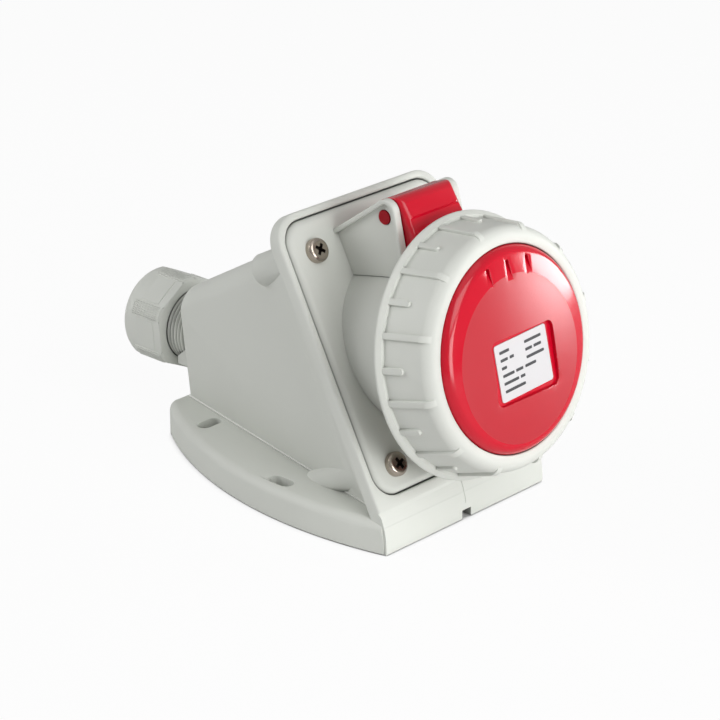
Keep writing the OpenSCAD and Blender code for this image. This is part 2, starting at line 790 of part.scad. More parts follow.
module contact_carrier() placed() color(grey_dark) on_axis(0) {
    difference() {
        union() {
            translate([0, 0, flange_back]) cylinder(r = carrier_r, h = carrier_front - flange_back);
            translate([0, 0, flange_back]) cylinder(r = carrier_flange_r, h = carrier_flange_t);
            translate([-keyway_w / 3, -carrier_r - 1.2, over]) cube([keyway_w / 1.5, carrier_r, carrier_front - 2 * over]);
        }
        contact_places(phase_angles) translate([0, 0, flange_back - over]) {
            cylinder(r = phase_r + sleeve_clear, h = sleeve_front - flange_back + over);
            cylinder(r = phase_bore / 2 + 0.3, h = far);
        }
        contact_places(earth_angles) translate([0, 0, flange_back - over]) {
            cylinder(r = earth_r + sleeve_clear, h = sleeve_front - flange_back + over);
            cylinder(r = earth_bore / 2 + 0.3, h = far);
        }
        for (x = [-1, 1]) translate([x * carrier_screw_at, 0, flange_back - over])
            cylinder(r = carrier_screw_r + pilot_clear, h = carrier_flange_t + 2 * over);
    }
}

module carrier_back() placed() color(grey_dark) on_axis(0) {
    difference() {
        translate([0, 0, terminal_back]) cylinder(r = carrier_r - 1.2, h = terminal_l);
        translate([0, 0, terminal_back - over]) {
            contact_places(phase_angles) cylinder(r = phase_r + sleeve_clear, h = far);
            contact_places(earth_angles) cylinder(r = earth_r + sleeve_clear, h = far);
        }
        for (a = [0, 90, 180, 270]) translate([0, 0, terminal_s]) rotate([0, 90, a])
            cylinder(r = terminal_screw_d / 2 + 1, h = far);
    }
}

module carrier_screws() placed() color(steel) on_axis(0) {
    for (x = [-1, 1]) translate([x * carrier_screw_at, 0, 0]) {
        translate([0, 0, flange_back - 2]) cylinder(r = 2 * carrier_screw_r - over / 2, h = 2);
        translate([0, 0, flange_back - over]) cylinder(r = carrier_screw_r, h = carrier_flange_t + barrel_floor_t + over);
    }
}

// slotted contact tube with a terminal at its rear end
module sleeve(r, bore) {
    back = terminal_back + over;
    difference() {
        translate([0, 0, back]) cylinder(r = r, h = sleeve_front - back);
        translate([0, 0, over]) cylinder(d = bore, h = far);
        translate([-0.4, -far / 2, sleeve_front / 3]) cube([0.8, far, far]);
        translate([0, 0, back - over]) cylinder(r = wire_r, h = terminal_l * 0.8);
        translate([0, 0, terminal_s]) rotate([0, 90, 0]) cylinder(d = terminal_screw_d + 2 * pilot_clear, h = far);
    }
}

module sleeve_l1() placed() color(brass) on_axis(0) contact_places([phase_angles[2]]) sleeve(phase_r, phase_bore);
module sleeve_l2() placed() color(brass) on_axis(0) contact_places([phase_angles[1]]) sleeve(phase_r, phase_bore);
module sleeve_l3() placed() color(brass) on_axis(0) contact_places([phase_angles[0]]) sleeve(phase_r, phase_bore);
module sleeve_earth() placed() color(brass) on_axis(0) contact_places(earth_angles) sleeve(earth_r, earth_bore);

module terminal_screws() placed() color(steel) on_axis(terminal_s) {
    for (a = [0, 90, 180, 270]) rotate([0, 90, a]) {
        r = a == 270 ? earth_r : phase_r;
        translate([0, 0, contact_pcr + wire_r]) cylinder(d = terminal_screw_d, h = r - wire_r + 0.2);
        translate([0, 0, contact_pcr + r]) cylinder(d = terminal_screw_d + 1.4, h = 2.2);
    }
}

module hinge_pin() placed() color(red) on_axis(0) {
    translate([0, hinge_w, hinge_s]) rotate([0, 90, 0]) cylinder(r = hinge_pin_r, h = 2 * pin_end, center = true);
}

// outside of the lid: journal for the ring with a rounded front edge
module lid_edge() {
    crest = lid_r - lid_edge_r;
    translate([0, skirt_end]) square([lid_r, ring_front + rim_rise - lid_edge_r - skirt_end]);
    translate([0, skirt_end]) square([crest, far]);
    translate([crest, ring_front + rim_rise - lid_edge_r]) circle(lid_edge_r);
}

// rim that slopes away from the dome
module rim_profile() {
    square([lid_r, ring_front]);
    translate([0, ring_front]) polygon([
        [0, 0],
        [lid_r, 0],
        [lid_r, rim_h],
        [rim_in_r, rim_h + (lid_r - rim_in_r) * tan(rim_slope)],
        [0, rim_h]
    ]);
}

// lid without its arm: domed front, shoulder behind the ring, skirt and gasket seat
module lid_shell() {
    difference() {
        union() {
            intersection() {
                rotate_extrude() lid_edge();
                union() {
                    rotate_extrude() rim_profile();
                    translate([0, -dome_drop, ring_front + dome_h - dome_r]) sphere(dome_r);
                }
            }
            translate([0, 0, lid_seat - shoulder_t]) cylinder(r = lid_shoulder_r, h = shoulder_t);
        }
        cylinder(r = skirt_in_r, h = gasket_face);
        cylinder(r = gasket_lip_r, h = ring_front - lid_ceiling);
    }
    // lip that holds the gasket from inside
    translate([0, 0, mouth_s + gasket_lip_gap]) rotate_extrude() translate([gasket_lip_r, 0])
        square([gasket_lip_t, gasket_face - mouth_s - gasket_lip_gap + eps]);
}

// groove that drains the front at its upper edge, with a floor that dives under the rim
module drain_groove() {
    end_r = groove_end_w / 2;
    rotate([-groove_dive, 0, 0]) linear_extrude(lid_edge_r) {
        translate([0, -end_r]) circle(end_r);
        polygon([[-end_r, -end_r], [end_r, -end_r], [groove_w / 2, -groove_l], [-groove_w / 2, -groove_l]]);
    }
}

module arm_profile() {
    translate([hinge_s, hinge_w]) circle(knuckle_r);
    translate(arm_top) circle(arm_top_r);
    polygon([
        [hinge_s, hinge_w + knuckle_r],
        arm_top + [0, arm_top_r],
        arm_top + arm_top_r * [cos(arm_lean), sin(arm_lean)],
        arm_nose,
        arm_crease,
        arm_flare,
        [arm_foot, strap_r - over],
        [arm_foot, strap_r - strap_t + over / 2],
        [neck_rear, strap_r - strap_t + over / 2],
        [neck_rear, hinge_w - knuckle_r],
        [hinge_s, hinge_w - knuckle_r]
    ]);
}

// keeps the arm's front ends round, seen along its leaning front
module arm_ends() {
    half = arm_w / 2 + arm_end_over;
    x = half - arm_end_r;
    translate([0, arm_nose[1], arm_nose[0]]) rotate([90 - arm_lean, 0, 0])
        linear_extrude(far, center = true) {
            translate([-half, -far]) square([2 * half, far - arm_end_r]);
            translate([-x, -far]) square([2 * x, far]);
            for (side = [-1, 1]) translate([side * x, -arm_end_r]) circle(arm_end_r);
        }
}

module lid_arm() {
    strap_start = neck_rear + 2 * over;
    intersection() {
        translate([0, 0, strap_start]) difference() {
            cylinder(r = strap_r, h = lid_seat - over - strap_start);
            translate([0, 0, -over]) cylinder(r = strap_r - strap_t, h = far);
        }
        translate([-arm_w / 2, 0, -far / 2]) cube([arm_w, far, far]);
    }
    intersection() {
        across(arm_w) arm_profile();
        arm_ends();
    }
}

module lid() placed() color(red) on_axis(0) {
    difference() {
        union() {
            lid_shell();
            lid_arm();
        }
        translate([label_x, -label_drop, ring_front + label_floor_h]) linear_extrude(dome_h)
            round_rect(label_bed_w, label_bed_h, label_bed_r);
        for (x = [-1, 0, 1])
            translate([x * groove_pitch, groove_reach - abs(x) * groove_step, ring_front + groove_floor]) drain_groove();
        translate([0, hinge_w, hinge_s]) rotate([0, 90, 0])
            cylinder(r = hinge_pin_r + hinge_clear, h = far, center = true);
    }
}

module lid_gasket() placed() color(black) on_axis(mouth_s + gasket_gap) {
    difference() {
        cylinder(r = barrel_r + 1, h = gasket_face - mouth_s - gasket_gap);
        translate([0, 0, -over]) cylinder(r = bore_r - 0.6, h = far);
    }
}

module lid_label() placed() color([0.95, 0.95, 0.95]) on_axis(0) {
    translate([label_x, -label_drop, ring_front + label_floor_h]) rotate([0, 0, label_turn])
        linear_extrude(label_t) round_rect(label_w, label_h, label_r);
}

// panel profile of the ring
module ring_profile() {
    c = [panel_front_r - ring_corner_r, ring_l - ring_corner_r];
    polygon([
        [0, 0],
        [ring_rim_r, 0],
        [ring_rim_r, rim_l],
        [ring_rib_rear_r, band_l],
        [panel_rear_r, band_l],
        [panel_front_r, c[1]],
        [c[0], ring_l],
        [0, ring_l]
    ]);
    translate(c) circle(ring_corner_r);
}

// the same, over the ribs
module rib_profile() {
    c = [ring_rib_front_r - ring_corner_r, ring_l - rib_inset - ring_corner_r];
    polygon([[0, 0], [ring_rib_rear_r, band_l / 2], [ring_rib_front_r, c[1]], [c[0], ring_l - rib_inset],
        [0, ring_l - rib_inset]]);
    translate(c) circle(ring_corner_r);
}

module locking_ring() placed() color(grey) on_axis(ring_front - ring_l) {
    step = 360 / rib_count;
    difference() {
        union() {
            rotate_extrude() ring_profile();
            intersection() {
                rotate_extrude() rib_profile();
                union() {
                    for (i = [0 : rib_count - 1]) {
                        rotate([0, 0, rib_start + i * step]) translate([ring_inner_r, -rib_w / 2, band_l / 2])
                            cube([ring_rim_r - ring_inner_r, rib_w, ring_l]);
                        rotate([0, 0, rib_start + (i + 0.5) * step]) translate([ring_inner_r, 0, band_l / 2])
                            rotate([0, 90, 0]) linear_extrude(ring_rim_r - ring_inner_r) {
                                translate([-stub_l + rib_w / 2, -rib_w / 2]) square([stub_l - rib_w / 2, rib_w]);
                                translate([-stub_l + rib_w / 2, 0]) circle(rib_w / 2);
                            }
                    }
                }
            }
        }
        translate([0, 0, -over]) cylinder(r = ring_inner_r, h = ring_l - ring_face_t + over);
        translate([0, 0, -over]) cylinder(r = lid_r + lid_clear, h = ring_l + 2 * over);
    }
    for (a = [ring_lug_at, ring_lug_at + 180])
        translate([0, 0, ring_lug_front - ring_lug_t - ring_front + ring_l])
            lug(ring_lug_r, ring_inner_r + lug_sink, a, ring_lug_half, ring_lug_t);
}

module gland_seal() placed() color(black) {
    difference() {
        union() {
            on_gland(nozzle_end) cylinder(r = thread_r - thread_depth, h = seal_flange_t);
            on_gland(nozzle_end - seal_plug_l) cylinder(r = cable_r, h = seal_plug_l + eps);
        }
        on_gland(nozzle_end - seal_plug_l - over) cylinder(r = cable_r - seal_wall, h = 2 * seal_plug_l);
    }
}

module gland_washer() placed() color(grey_dark) {
    on_gland(washer_y) difference() {
        cylinder(r = nut_bore_r - 0.5, h = washer_t);
        translate([0, 0, -over]) cylinder(r = cable_r, h = washer_t + 2 * over);
    }
}

module gland_nut() placed() color(grey) {
    shelf = washer_y + washer_t - nut_y;
    on_gland(nut_y) difference() {
        intersection() {
            rotate([0, 0, 30 - nut_turn]) cylinder(d = nut_flats / cos(30), h = nut_l, $fn = 6);
            rotate_extrude() {
                square([nut_r - nut_dome_r, nut_l]);
                translate([nut_r - nut_dome_r, nut_l - nut_dome_r]) circle(nut_dome_r);
                polygon([
                    [0, 0],
                    [nut_r - nut_chamfer, 0],
                    [nut_r, nut_chamfer],
                    [nut_r, nut_l - nut_dome_r],
                    [0, nut_l - nut_dome_r]
                ]);
            }
        }
        translate([0, 0, -over]) cylinder(r = nut_bore_r, h = shelf + over);
        cylinder(r = nut_hole_r, h = far);
    }
}

wall_box();
plate_gasket();
socket_body();
plate_screws();
contact_carrier();
carrier_back();
carrier_screws();
sleeve_l1();
sleeve_l2();
sleeve_l3();
sleeve_earth();
terminal_screws();
hinge_pin();
lid();
lid_gasket();
lid_label();
locking_ring();
gland_seal();
gland_washer();
gland_nut();
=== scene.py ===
import math

import bmesh
import bpy
from mathutils import Matrix, Vector


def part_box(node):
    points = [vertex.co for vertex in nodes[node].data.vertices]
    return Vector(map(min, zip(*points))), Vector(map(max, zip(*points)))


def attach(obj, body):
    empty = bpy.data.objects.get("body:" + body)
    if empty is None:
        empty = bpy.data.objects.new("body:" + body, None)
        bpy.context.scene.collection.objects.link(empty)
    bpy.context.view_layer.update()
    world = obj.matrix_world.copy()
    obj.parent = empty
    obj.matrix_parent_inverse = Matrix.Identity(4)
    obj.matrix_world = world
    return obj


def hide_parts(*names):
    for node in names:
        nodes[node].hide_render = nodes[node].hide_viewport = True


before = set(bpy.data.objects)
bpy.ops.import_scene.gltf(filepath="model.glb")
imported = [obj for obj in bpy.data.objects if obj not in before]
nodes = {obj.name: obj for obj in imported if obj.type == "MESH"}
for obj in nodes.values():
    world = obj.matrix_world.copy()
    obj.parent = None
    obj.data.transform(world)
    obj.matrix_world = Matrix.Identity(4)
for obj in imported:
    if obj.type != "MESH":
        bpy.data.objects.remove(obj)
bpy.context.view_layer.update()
print("frame loaded:", len(nodes), "nodes")


# small helpers

def dropSelection():
    if bpy.context.object and bpy.context.object.mode != "OBJECT":
        bpy.ops.object.mode_set(mode="OBJECT")
    bpy.ops.object.select_all(action="DESELECT")


def makeActive(piece):
    dropSelection()
    piece.select_set(True)
    bpy.context.view_layer.objects.active = piece


def applyAll(piece):
    makeActive(piece)
    for name in [m.name for m in piece.modifiers]:
        bpy.ops.object.modifier_apply(modifier=name)


def applyPlace():
    bpy.ops.object.transform_apply(location=True, rotation=True, scale=True)


def smooth(piece, degrees=30):
    makeActive(piece)
    bpy.ops.object.shade_smooth_by_angle(angle=math.radians(degrees))


def paint(piece, material):
    piece.data.materials.clear()
    piece.data.materials.append(material)


def pickFaces(piece, test):
    for v in piece.data.vertices:
        v.select = False
    for e in piece.data.edges:
        e.select = False
    for f in piece.data.polygons:
        f.select = test(f)


def editFaces():
    bpy.ops.object.mode_set(mode="EDIT")
    bpy.ops.mesh.select_mode(type="FACE")


def leaveEdit():
    bpy.ops.object.mode_set(mode="OBJECT")


def ownCopy(mesh, name):
    copy = bpy.data.objects.new(name, mesh.copy())
    bpy.context.scene.collection.objects.link(copy)
    return copy


def joinUp(copies, name):
    dropSelection()
    for copy in copies:
        copy.select_set(True)
    bpy.context.view_layer.objects.active = copies[0]
    bpy.ops.object.join()
    piece = bpy.context.object
    piece.name = name
    return piece


# a second finish on some faces of a piece
def refinish(piece, material, test):
    piece.data.materials.append(material)
    count = 0
    for face in piece.data.polygons:
        if test(face):
            face.material_index = 1
            count += 1
    return count


# where things lie: the sloped face of the frame, and the socket's axis that leans out of it
facePlane = {"foot": Vector((0, -0.06405, 0)), "up": Vector((0, 0.47716, 0.87882)),
             "out": Vector((0, -0.87882, 0.47716))}
socketAxis = {"foot": Vector((0, -0.034418, 0.0545745)), "up": Vector((0, 0.204496, 0.978867)),
              "out": Vector((0, -0.978867, 0.204496))}


def leaning(place):
    return Matrix((Vector((1, 0, 0)), place["up"], place["out"])).transposed().to_4x4()


# across, up and out from the frame's face, in mm
def onFace(point):
    arm = point - facePlane["foot"]
    return point.x * 1000, arm.dot(facePlane["up"]) * 1000, arm.dot(facePlane["out"]) * 1000


# along the socket's axis and away from it, in mm
def onAxis(point):
    arm = point - socketAxis["foot"]
    high = arm.dot(socketAxis["up"])
    return arm.dot(socketAxis["out"]) * 1000, math.hypot(point.x, high) * 1000


# edge radius in mm for an edge by its place and length, zero leaves it sharp
boxBreak = {"lip": 0.85, "lipFrom": 15, "rear": 0.6, "rearDepth": 5, "rearFrom": 12, "near": 0.4,
            "ledge": 0.3, "ledgeLow": 10.7, "ledgeHigh": 11.4, "ledgeLength": 20,
            "slot": 0.2, "slotLow": 9.8, "slotSide": 16, "slotLength": 6, "nozzleFrom": 57.5}


def boxEdges(mid, length):
    k = boxBreak
    x, v, o = onFace(mid)
    z = mid.z * 1000
    if mid.y * 1000 > k["nozzleFrom"]:
        return 0
    if abs(o) < k["near"] and v > k["lipFrom"]:
        return k["lip"]                   # both edges of the lip
    if abs(o + k["rearDepth"]) < k["near"] and z > k["rearFrom"]:
        return k["rear"]                  # rear edge of the frame
    if k["ledgeLow"] < z < k["ledgeHigh"] and length > k["ledgeLength"]:
        return k["ledge"]                 # ledge around the box
    if k["slotLow"] < z < k["ledgeLow"] and abs(x) > k["slotSide"] and length < k["slotLength"]:
        return k["slot"]                  # fixing slots
    return 0


bodyBreak = {"cheek": 0.45, "outFrom": 1.2, "upFrom": 80, "awayFrom": 31}


def bodyEdges(mid, length):
    k = bodyBreak
    v, o = onFace(mid)[1:]
    r = onAxis(mid)[1]
    return k["cheek"] if o > k["outFrom"] and v > k["upFrom"] and r > k["awayFrom"] else 0


lidBreak = {"groove": 0.15, "grooveFrom": 45.4, "grooveAway": 17, "arm": 0.3, "armAway": 37, "heelTo": 34,
            "heelAway": 33}


def lidEdges(mid, length):
    k = lidBreak
    s, r = onAxis(mid)
    if s > k["grooveFrom"] and r > k["grooveAway"]:
        return k["groove"]                # drain grooves
    if r > k["armAway"] or (s < k["heelTo"] and r > k["heelAway"]):
        return k["arm"]                   # hinge arm
    return 0


ringBreak = {"rim": 0.36, "rimTo": 27, "rimAway": 42, "rib": 0.22, "ribFrom": 28, "ribTo": 41, "ribAway": 39,
             "inner": 0.6, "innerFrom": 44.2, "innerWithin": 34}


def ringEdges(mid, length):
    k = ringBreak
    s, r = onAxis(mid)
    if s < k["rimTo"] and r > k["rimAway"]:
        return k["rim"]                   # rear rim
    if k["ribFrom"] < s < k["ribTo"] and r > k["ribAway"]:
        return k["rib"]                   # grip ribs
    if s > k["innerFrom"] and r < k["innerWithin"]:
        return k["inner"]                 # inner edge around the lid
    return 0


nutBreak = {"axisZ": 0.0324, "front": 0.35, "frontTo": 67.2, "frontAway": 14, "mouth": 0.5, "mouthFrom": 84.9,
            "mouthWithin": 10}


def nutEdges(mid, length):
    k = nutBreak
    y = mid.y * 1000
    r = math.hypot(mid.x, mid.z - k["axisZ"]) * 1000
    if y < k["frontTo"] and r > k["frontAway"]:
        return k["front"]
    if y > k["mouthFrom"] and r < k["mouthWithin"]:
        return k["mouth"]
    return 0


# a copy of a moulded node with its edges broken, as a mould leaves them
softEdge = {"merge": 0.000004, "flatDegrees": 0.4, "sharpDegrees": 28, "segments": 3, "smoothDegrees": 32}


def softCopy(nodeName, pieceName, body, rule):
    piece = ownCopy(nodes[nodeName].data, pieceName)
    makeActive(piece)
    bpy.ops.mesh.customdata_custom_splitnormals_clear()
    bpy.ops.object.mode_set(mode="EDIT")
    bpy.ops.mesh.select_mode(type="EDGE")
    bpy.ops.mesh.select_all(action="SELECT")
    bpy.ops.mesh.remove_doubles(threshold=softEdge["merge"])
    bpy.ops.mesh.dissolve_limited(angle_limit=math.radians(softEdge["flatDegrees"]))
    bpy.ops.mesh.select_all(action="DESELECT")
    bpy.ops.mesh.edges_select_sharp(sharpness=math.radians(softEdge["sharpDegrees"]))
    work = bmesh.from_edit_mesh(piece.data)
    weight = work.edges.layers.float.new("bevel_weight_edge")
    for e in work.edges:
        if e.select and e.is_convex:
            e[weight] = rule((e.verts[0].co + e.verts[1].co) / 2, e.calc_length() * 1000)
    bmesh.update_edit_mesh(piece.data)
    leaveEdit()
    bevel = piece.modifiers.new("edges", "BEVEL")
    bevel.width = 0.001                   # a weight of one is one millimetre
    bevel.segments = softEdge["segments"]
    bevel.limit_method = "WEIGHT"
    bevel.use_clamp_overlap = False
    applyAll(piece)
    smooth(piece, softEdge["smoothDegrees"])
    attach(piece, body)
    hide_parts(nodeName)
    return piece


# materials

def newMaterial(name):
    mat = bpy.data.materials.new(name)
    mat.use_nodes = True
    tree = mat.node_tree
    return mat, tree, tree.nodes["Principled BSDF"]


# fine grain of a mould with a slow drift of tone and gloss, and painted shade that darkens the colour in crevices
mouldGrain = {"grainDetail": 3, "cloudScale": 38, "cloudDetail": 2, "tintSpread": 0.03, "paintedShadeReach": 0.006,
              "paintedShadeSamples": 8, "deepAt": 0.12, "openAt": 0.55}
metalGrain = {"spread": 0.2, "scale": 2200, "tintSpread": 0.2}


def mouldGrainGroup():
    group = bpy.data.node_groups.new("mouldGrain", "ShaderNodeTree")
    face = group.interface
    for name, value in (("Scale", 1400.0), ("Base Roughness", 0.4), ("Spread", 0.08), ("Tint Spread", 0.03),
                        ("Painted Shade Tone", 1.0)):
        face.new_socket(name, in_out="INPUT", socket_type="NodeSocketFloat").default_value = value
    tone = face.new_socket("Tone", in_out="INPUT", socket_type="NodeSocketColor")
    tone.default_value = (0.7, 0.7, 0.7, 1)
    for name, kind in (("Color", "NodeSocketColor"), ("Roughness", "NodeSocketFloat"), ("Height", "NodeSocketFloat")):
        face.new_socket(name, in_out="OUTPUT", socket_type=kind)
    n, l = group.nodes, group.links
    gin = n.new("NodeGroupInput")
    gout = n.new("NodeGroupOutput")
    place = n.new("ShaderNodeTexCoord")
    fine = n.new("ShaderNodeTexNoise")
    fine.inputs["Detail"].default_value = mouldGrain["grainDetail"]
    cloud = n.new("ShaderNodeTexNoise")
    cloud.inputs["Scale"].default_value = mouldGrain["cloudScale"]
    cloud.inputs["Detail"].default_value = mouldGrain["cloudDetail"]
    l.new(place.outputs["Object"], fine.inputs["Vector"])
    l.new(place.outputs["Object"], cloud.inputs["Vector"])
    l.new(gin.outputs["Scale"], fine.inputs["Scale"])
    l.new(fine.outputs["Fac"], gout.inputs["Height"])
    mid = n.new("ShaderNodeMath")         # the cloud around zero
    mid.operation = "SUBTRACT"
    mid.inputs[1].default_value = 0.5
    l.new(cloud.outputs["Fac"], mid.inputs[0])
    rough = n.new("ShaderNodeMath")
    rough.operation = "MULTIPLY_ADD"
    l.new(mid.outputs[0], rough.inputs[0])
    l.new(gin.outputs["Spread"], rough.inputs[1])
    l.new(gin.outputs["Base Roughness"], rough.inputs[2])
    l.new(rough.outputs[0], gout.inputs["Roughness"])
    tint = n.new("ShaderNodeMath")
    tint.operation = "MULTIPLY_ADD"
    tint.inputs[2].default_value = 1.0
    l.new(mid.outputs[0], tint.inputs[0])
    l.new(gin.outputs["Tint Spread"], tint.inputs[1])
    mix = n.new("ShaderNodeVectorMath")
    mix.operation = "SCALE"
    l.new(gin.outputs["Tone"], mix.inputs[0])
    l.new(tint.outputs[0], mix.inputs["Scale"])
    # painted shade: the colour is darkened where nearby surfaces close in, as in slots, gaps and crevices
    near = n.new("ShaderNodeAmbientOcclusion")
    near.samples = mouldGrain["paintedShadeSamples"]
    near.inputs["Distance"].default_value = mouldGrain["paintedShadeReach"]
    depth = n.new("ShaderNodeMapRange")
    depth.inputs["From Min"].default_value = mouldGrain["deepAt"]
    depth.inputs["From Max"].default_value = mouldGrain["openAt"]
    l.new(near.outputs["AO"], depth.inputs["Value"])
    l.new(gin.outputs["Painted Shade Tone"], depth.inputs["To Min"])
    deep = n.new("ShaderNodeVectorMath")
    deep.operation = "SCALE"
    l.new(mix.outputs[0], deep.inputs[0])
    l.new(depth.outputs["Result"], deep.inputs["Scale"])
    l.new(deep.outputs[0], gout.inputs["Color"])
    return group


grainGroup = mouldGrainGroup()


def grainIn(tree, tone, roughness, spread, scale, tintSpread, paintedShade=1.0):
    grain = tree.nodes.new("ShaderNodeGroup")
    grain.node_tree = grainGroup
    grain.inputs["Tone"].default_value = (*tone, 1)
    for socket, value in (("Base Roughness", roughness), ("Spread", spread), ("Scale", scale),
                          ("Tint Spread", tintSpread), ("Painted Shade Tone", paintedShade)):
        grain.inputs[socket].default_value = value
    return grain


def moulded(name, tone, roughness, spread, scale, bump, specular=0.5, depth=0.00008, paintedShade=1.0, ior=1.5):
    mat, tree, shader = newMaterial(name)
    grain = grainIn(tree, tone, roughness, spread, scale, mouldGrain["tintSpread"], paintedShade)
    relief = tree.nodes.new("ShaderNodeBump")
    relief.inputs["Strength"].default_value = bump
    relief.inputs["Distance"].default_value = depth
    shader.inputs["Specular IOR Level"].default_value = specular
    shader.inputs["IOR"].default_value = ior
    tree.links.new(grain.outputs["Color"], shader.inputs["Base Color"])
    tree.links.new(grain.outputs["Roughness"], shader.inputs["Roughness"])
    tree.links.new(grain.outputs["Height"], relief.inputs["Height"])
    tree.links.new(relief.outputs["Normal"], shader.inputs["Normal"])
    return mat


def metal(name, tone, roughness):
    mat, tree, shader = newMaterial(name)
    grain = grainIn(tree, tone, roughness, **metalGrain)
    shader.inputs["Metallic"].default_value = 1
    tree.links.new(grain.outputs["Color"], shader.inputs["Base Color"])
    tree.links.new(grain.outputs["Roughness"], shader.inputs["Roughness"])
    return mat


# colour, roughness and its spread, grain scale and bump strength of each plastic, rubber and film, and the tone of
# its painted shade in crevices
plastics = {
    "greyPlastic": dict(tone=(0.685, 0.70, 0.655), roughness=0.50, spread=0.10, scale=1500, bump=0.10,
                        specular=0.2, paintedShade=0.28),
    # painted highlight for the ledge around the box
    "paintedLedgeHighlight": dict(tone=(0.90, 0.91, 0.88), roughness=0.30, spread=0.06, scale=1500, bump=0.05),
    "redPlastic": dict(tone=(0.60, 0.001, 0.018), roughness=0.15, spread=0.08, scale=700, bump=0.05, paintedShade=0.6),
    # a darker red for the hinge pin, painted shade for its place down in the cheek's pocket
    "shadedPinRed": dict(tone=(0.34, 0.002, 0.010), roughness=0.40, spread=0.08, scale=900, bump=0.1, specular=0.2),
    "redSatin": dict(tone=(0.50, 0.002, 0.014), roughness=0.33, spread=0.06, scale=2600, bump=0.4,
                     specular=0.55, depth=0.00006, ior=1.6),
    "insulatorPlastic": dict(tone=(0.34, 0.35, 0.34), roughness=0.5, spread=0.1, scale=1500, bump=0.1),
    "softRubber": dict(tone=(0.03, 0.03, 0.03), roughness=0.62, spread=0.1, scale=1800, bump=0.3),
    "labelFilm": dict(tone=(0.66, 0.65, 0.66), roughness=0.55, spread=0.05, scale=600, bump=0.02, specular=0.15),
    "labelInk": dict(tone=(0.03, 0.03, 0.035), roughness=0.5, spread=0.05, scale=900, bump=0.02),
}
metals = {
    "screwSteel": dict(tone=(0.44, 0.385, 0.33), roughness=0.24),
    # near-black steel, painted shade inside the screws' cross recess
    "paintedRecessShade": dict(tone=(0.045, 0.035, 0.03), roughness=0.5),
    "sleeveBrass": dict(tone=(0.72, 0.53, 0.24), roughness=0.3),
}
look = {name: moulded(name, **values) for name, values in plastics.items()}
look.update({name: metal(name, **values) for name, values in metals.items()})

finish = {
    "greyPlastic": ("wall_box", "socket_body", "locking_ring", "gland_nut"),
    "redPlastic": ("lid",),
    "shadedPinRed": ("hinge_pin",),
    "insulatorPlastic": ("contact_carrier", "carrier_back", "gland_washer"),
    "softRubber": ("plate_gasket", "lid_gasket", "gland_seal"),
    "labelFilm": ("lid_label",),
    "screwSteel": ("plate_screws", "carrier_screws", "terminal_screws"),
    "sleeveBrass": ("sleeve_l1", "sleeve_l2", "sleeve_l3", "sleeve_earth"),
}
for name, wearers in finish.items():
    for nodeName in wearers:
        paint(nodes[nodeName], look[name])
        smooth(nodes[nodeName])
print("materials ready:", len(look))

# moulded pieces with broken edges
softPieces = {
    "wallBox": ("wall_box", "housing", boxEdges, "greyPlastic"),
    "socketBody": ("socket_body", "housing", bodyEdges, "greyPlastic"),
    "lidShell": ("lid", "lid", lidEdges, "redPlastic"),
    "bayonetRing": ("locking_ring", "ring", ringEdges, "greyPlastic"),
    "glandNut": ("gland_nut", "nut", nutEdges, "greyPlastic"),
}
soft = {}
for pieceName, (nodeName, body, rule, name) in softPieces.items():
    soft[pieceName] = softCopy(nodeName, pieceName, body, rule)
    paint(soft[pieceName], look[name])
    print("soft copy", pieceName, len(soft[pieceName].data.polygons), "faces")

# the ledge around the box is painted lighter, a painted highlight along the line where it catches the light
ledge = {"from": 0.01072, "to": 0.0114, "lean": 0.2}


def onLedge(face):
    heights = [soft["wallBox"].data.vertices[i].co.z for i in face.vertices]
    return ledge["from"] < min(heights) and max(heights) < ledge["to"] and face.normal.z > ledge["lean"]


print("ledge faces", refinish(soft["wallBox"], look["paintedLedgeHighlight"], onLedge))

# the lid's crown is grained, its rim and arm are polished
crown = {"centre": Vector((0, 0.083635, 0.028553)), "radius": 0.170, "slack": 0.00003, "from": 44, "along": 0.98,
         "bedAway": 20, "bedSlack": 0.00036}   # looser around the label's bed, where the faces are larger


def onCrown(face):
    s, r = onAxis(face.center)
    reach = [(soft["lidShell"].data.vertices[i].co - crown["centre"]).length for i in face.vertices]
    slack = crown["slack"] if r > crown["bedAway"] else crown["bedSlack"]
    along = face.normal.dot((face.center - crown["centre"]).normalized())
    return s > crown["from"] and along > crown["along"] and max(abs(d - crown["radius"]) for d in reach) < slack


print("crown faces", refinish(soft["lidShell"], look["redSatin"], onCrown))

# pan-head screws with a cross recess, each place is across, up the face, turn
screw = {"headRadius": 0.004, "headHeight": 0.0026, "headRound": 0.0013, "headSides": 56, "roundSteps": 7,
         "shankRadius": 0.0019, "shankLength": 0.013, "seat": 0.0007,
         "crossLength": 0.0052, "crossWidth": 0.00145, "crossDepth": 0.0019, "crossTaper": 0.55,
         "recessFrom": 0.0007, "recessTo": 0.00245, "recessReach": 0.0027,
         "places": ((-25.5, 27.65, 24), (25.5, 27.65, 70), (-25.5, 99.25, 52), (25.5, 99.25, 8))}


